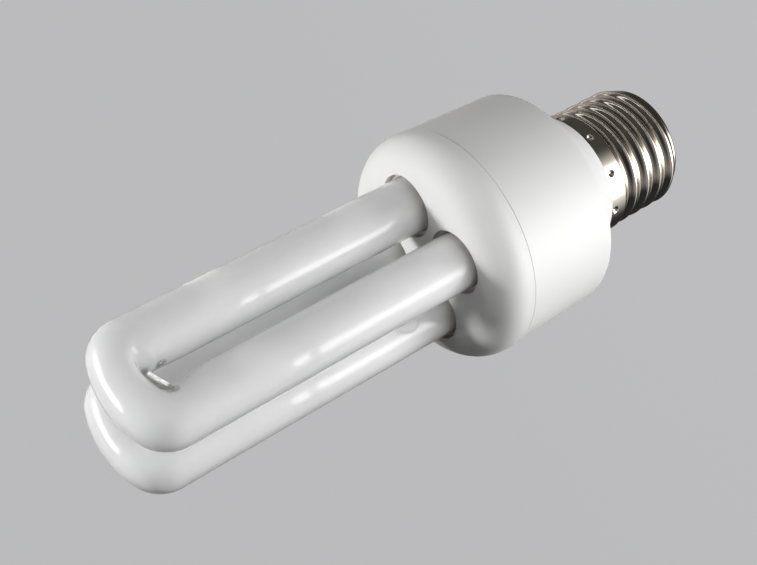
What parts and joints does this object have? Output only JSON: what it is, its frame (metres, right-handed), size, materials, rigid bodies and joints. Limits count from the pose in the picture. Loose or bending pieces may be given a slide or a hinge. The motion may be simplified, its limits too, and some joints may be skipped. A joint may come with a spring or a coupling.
{
  "type": "energy saving bulb",
  "caption": "Compact fluorescent lamp: bent white glass tubes on a round white plastic ballast housing with a metal screw cap, for a household lamp holder.",
  "frame": {"origin": "tip of the centre contact, on the lamp's axis, at the bottom of the part", "axes": "+Z along the lamp's axis from the screw cap to the ends of the glass tubes; each U-bend lies in a plane along X"},
  "size_m": [0.047, 0.047, 0.1344],
  "materials": {
    "coated_glass": "gloss",
    "white_plastic": "satin",
    "nickel_plate": "bright",
    "black_insulator": "gloss",
    "brass": "satin",
    "solder": "satin",
    "cement": "matt",
    "board": "satin",
    "ferrite": "matt",
    "copper_wire": "gloss",
    "capacitor_sleeve": "gloss",
    "capacitor_case": "gloss",
    "black_moulding": "matt",
    "resistor_body": "satin",
    "tinned_wire": "bright"
  },
  "bodies": {
    "root": {"discharge_tube": "coated_glass", "front_cover": "white_plastic", "rear_housing": "white_plastic", "screw_shell": "nickel_plate", "insulator": "black_insulator", "centre_contact": "brass", "contact_solder": "solder", "tube_cement": "cement", "circuit_board": "board", "choke_core": "ferrite", "choke_coil": "copper_wire", "smoothing_capacitor": "capacitor_sleeve", "resonant_capacitor": "capacitor_case", "filter_capacitor": "capacitor_case", "transistors": "black_moulding", "drive_toroid": "ferrite", "diodes": "black_moulding", "resistors": "resistor_body", "electrode_leads": "tinned_wire", "fuse_resistor": "resistor_body", "shell_lead": "tinned_wire"}
  },
  "joints": []
}
